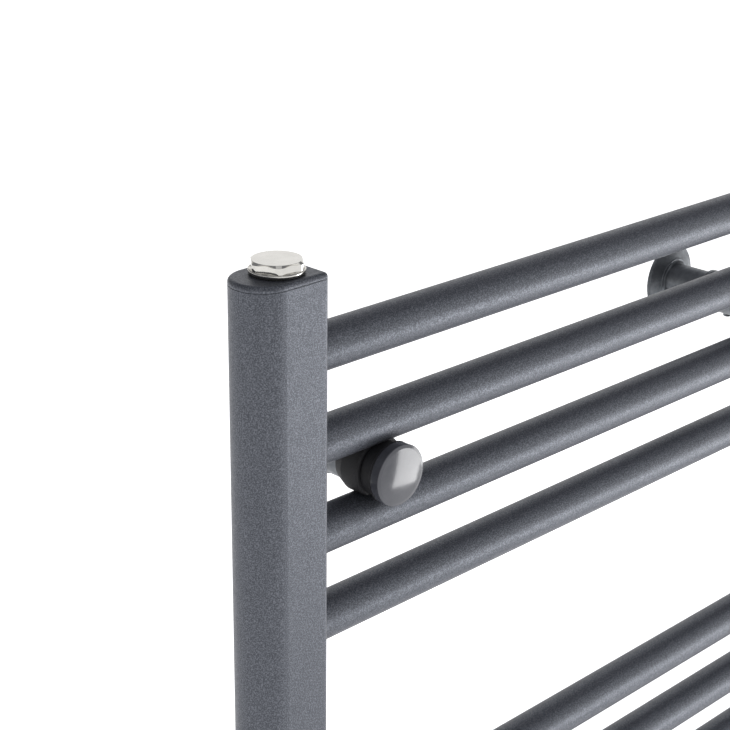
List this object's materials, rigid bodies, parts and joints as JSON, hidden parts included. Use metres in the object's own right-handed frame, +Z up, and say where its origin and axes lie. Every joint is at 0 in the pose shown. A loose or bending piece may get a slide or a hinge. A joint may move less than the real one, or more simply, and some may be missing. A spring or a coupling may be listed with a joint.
{
  "type": "ladder towel radiator",
  "caption": "Wall-hung ladder towel radiator: D-section collectors, round rungs, clamp brackets, top fittings and angled valves below.",
  "frame": {"origin": "on the wall, midway between the four wall fixings", "axes": "+X to the right as seen from the room, +Y into the wall, +Z up"},
  "size_m": [0.5, 0.131, 0.8722],
  "materials": {
    "radiator_paint": "anthracite powder coat on steel, fine texture, satin",
    "cap_enamel": "anthracite paint on die-cast zinc, smooth and glossy",
    "chrome": "polished chrome plate on brass",
    "zinc_steel": "bright zinc plate on steel",
    "brass": "turned brass",
    "seal_rubber": "black EPDM",
    "jaw_nylon": "black moulded glass-filled nylon, satin",
    "handwheel_plastic": "anthracite moulded ABS, satin"
  },
  "bodies": {
    "wall_mounts": {"wall_mount_top_left": "zinc_steel", "wall_mount_top_right": "zinc_steel", "wall_mount_bottom_left": "zinc_steel", "wall_mount_bottom_right": "zinc_steel"},
    "radiator": {"collector_left": "radiator_paint", "collector_right": "radiator_paint", "end_plate_top_left": "radiator_paint", "end_plate_top_right": "radiator_paint", "end_plate_bottom_left": "radiator_paint", "end_plate_bottom_right": "radiator_paint", "rung_01": "radiator_paint", "rung_02": "radiator_paint", "rung_03": "radiator_paint", "rung_04": "radiator_paint", "rung_05": "radiator_paint", "rung_06": "radiator_paint", "rung_07": "radiator_paint", "rung_08": "radiator_paint", "rung_09": "radiator_paint", "rung_10": "radiator_paint", "rung_11": "radiator_paint", "rung_12": "radiator_paint", "rung_13": "radiator_paint", "clamp_cap_top_left": "cap_enamel", "clamp_cap_top_right": "cap_enamel", "clamp_cap_bottom_left": "cap_enamel", "clamp_cap_bottom_right": "cap_enamel", "front_jaw_top_left": "jaw_nylon", "front_jaw_top_right": "jaw_nylon", "front_jaw_bottom_left": "jaw_nylon", "front_jaw_bottom_right": "jaw_nylon", "rear_jaw_top_left": "jaw_nylon", "rear_jaw_top_right": "jaw_nylon", "rear_jaw_bottom_left": "jaw_nylon", "rear_jaw_bottom_right": "jaw_nylon", "blanking_plug": "chrome", "vent_body": "chrome", "supply_tailpiece": "chrome", "supply_union_nut": "chrome", "supply_valve_body": "chrome", "supply_inlet_nut": "chrome", "supply_bonnet": "chrome", "return_tailpiece": "chrome", "return_union_nut": "chrome", "return_valve_body": "chrome", "return_inlet_nut": "chrome", "return_bonnet": "chrome", "clamp_sleeves": "zinc_steel", "clamp_bolts": "zinc_steel", "grub_screws": "zinc_steel", "olives": "brass", "port_seals": "seal_rubber"},
    "bleed_screw": {"bleed_screw": "brass"},
    "handwheel": {"handwheel": "handwheel_plastic", "handwheel_screw": "zinc_steel", "supply_spindle": "brass"},
    "supply_jumper": {"supply_jumper": "brass"},
    "lockshield_cap": {"lockshield_cap": "handwheel_plastic"},
    "return_spindle": {"return_spindle": "brass"},
    "return_jumper": {"return_jumper": "brass"}
  },
  "joints": [
    {"name": "depth_adjust", "type": "slide", "parent": "wall_mounts", "child": "radiator", "axis": [0, 1, 0], "range_m": [-0.01, 0.005]},
    {"name": "bleed_turn", "type": "hinge", "parent": "radiator", "child": "bleed_screw", "pos_m": [0.227, -0.075, 0.4], "axis": [0, 0, 1], "range_deg": [0, 360]},
    {"name": "handwheel_turn", "type": "hinge", "parent": "radiator", "child": "handwheel", "pos_m": [-0.227, -0.075, -0.445], "axis": [0, -1, 0], "range_deg": [0, 720]},
    {"name": "supply_lift", "type": "slide", "parent": "radiator", "child": "supply_jumper", "axis": [0, -1, 0], "range_m": [0, 0.004]},
    {"name": "lockshield_pull", "type": "slide", "parent": "radiator", "child": "lockshield_cap", "axis": [0, -1, 0], "range_m": [0, 0.035]},
    {"name": "lockshield_turn", "type": "hinge", "parent": "radiator", "child": "return_spindle", "pos_m": [0.227, -0.075, -0.445], "axis": [0, -1, 0], "range_deg": [0, 720]},
    {"name": "return_lift", "type": "slide", "parent": "radiator", "child": "return_jumper", "axis": [0, -1, 0], "range_m": [0, 0.004]}
  ],
  "couplings": [
    {"joint": "supply_lift", "follows": "handwheel_turn", "m_per_rad": 0.000318},
    {"joint": "lockshield_turn", "follows": "return_lift", "rad_per_m": 3141.6}
  ]
}
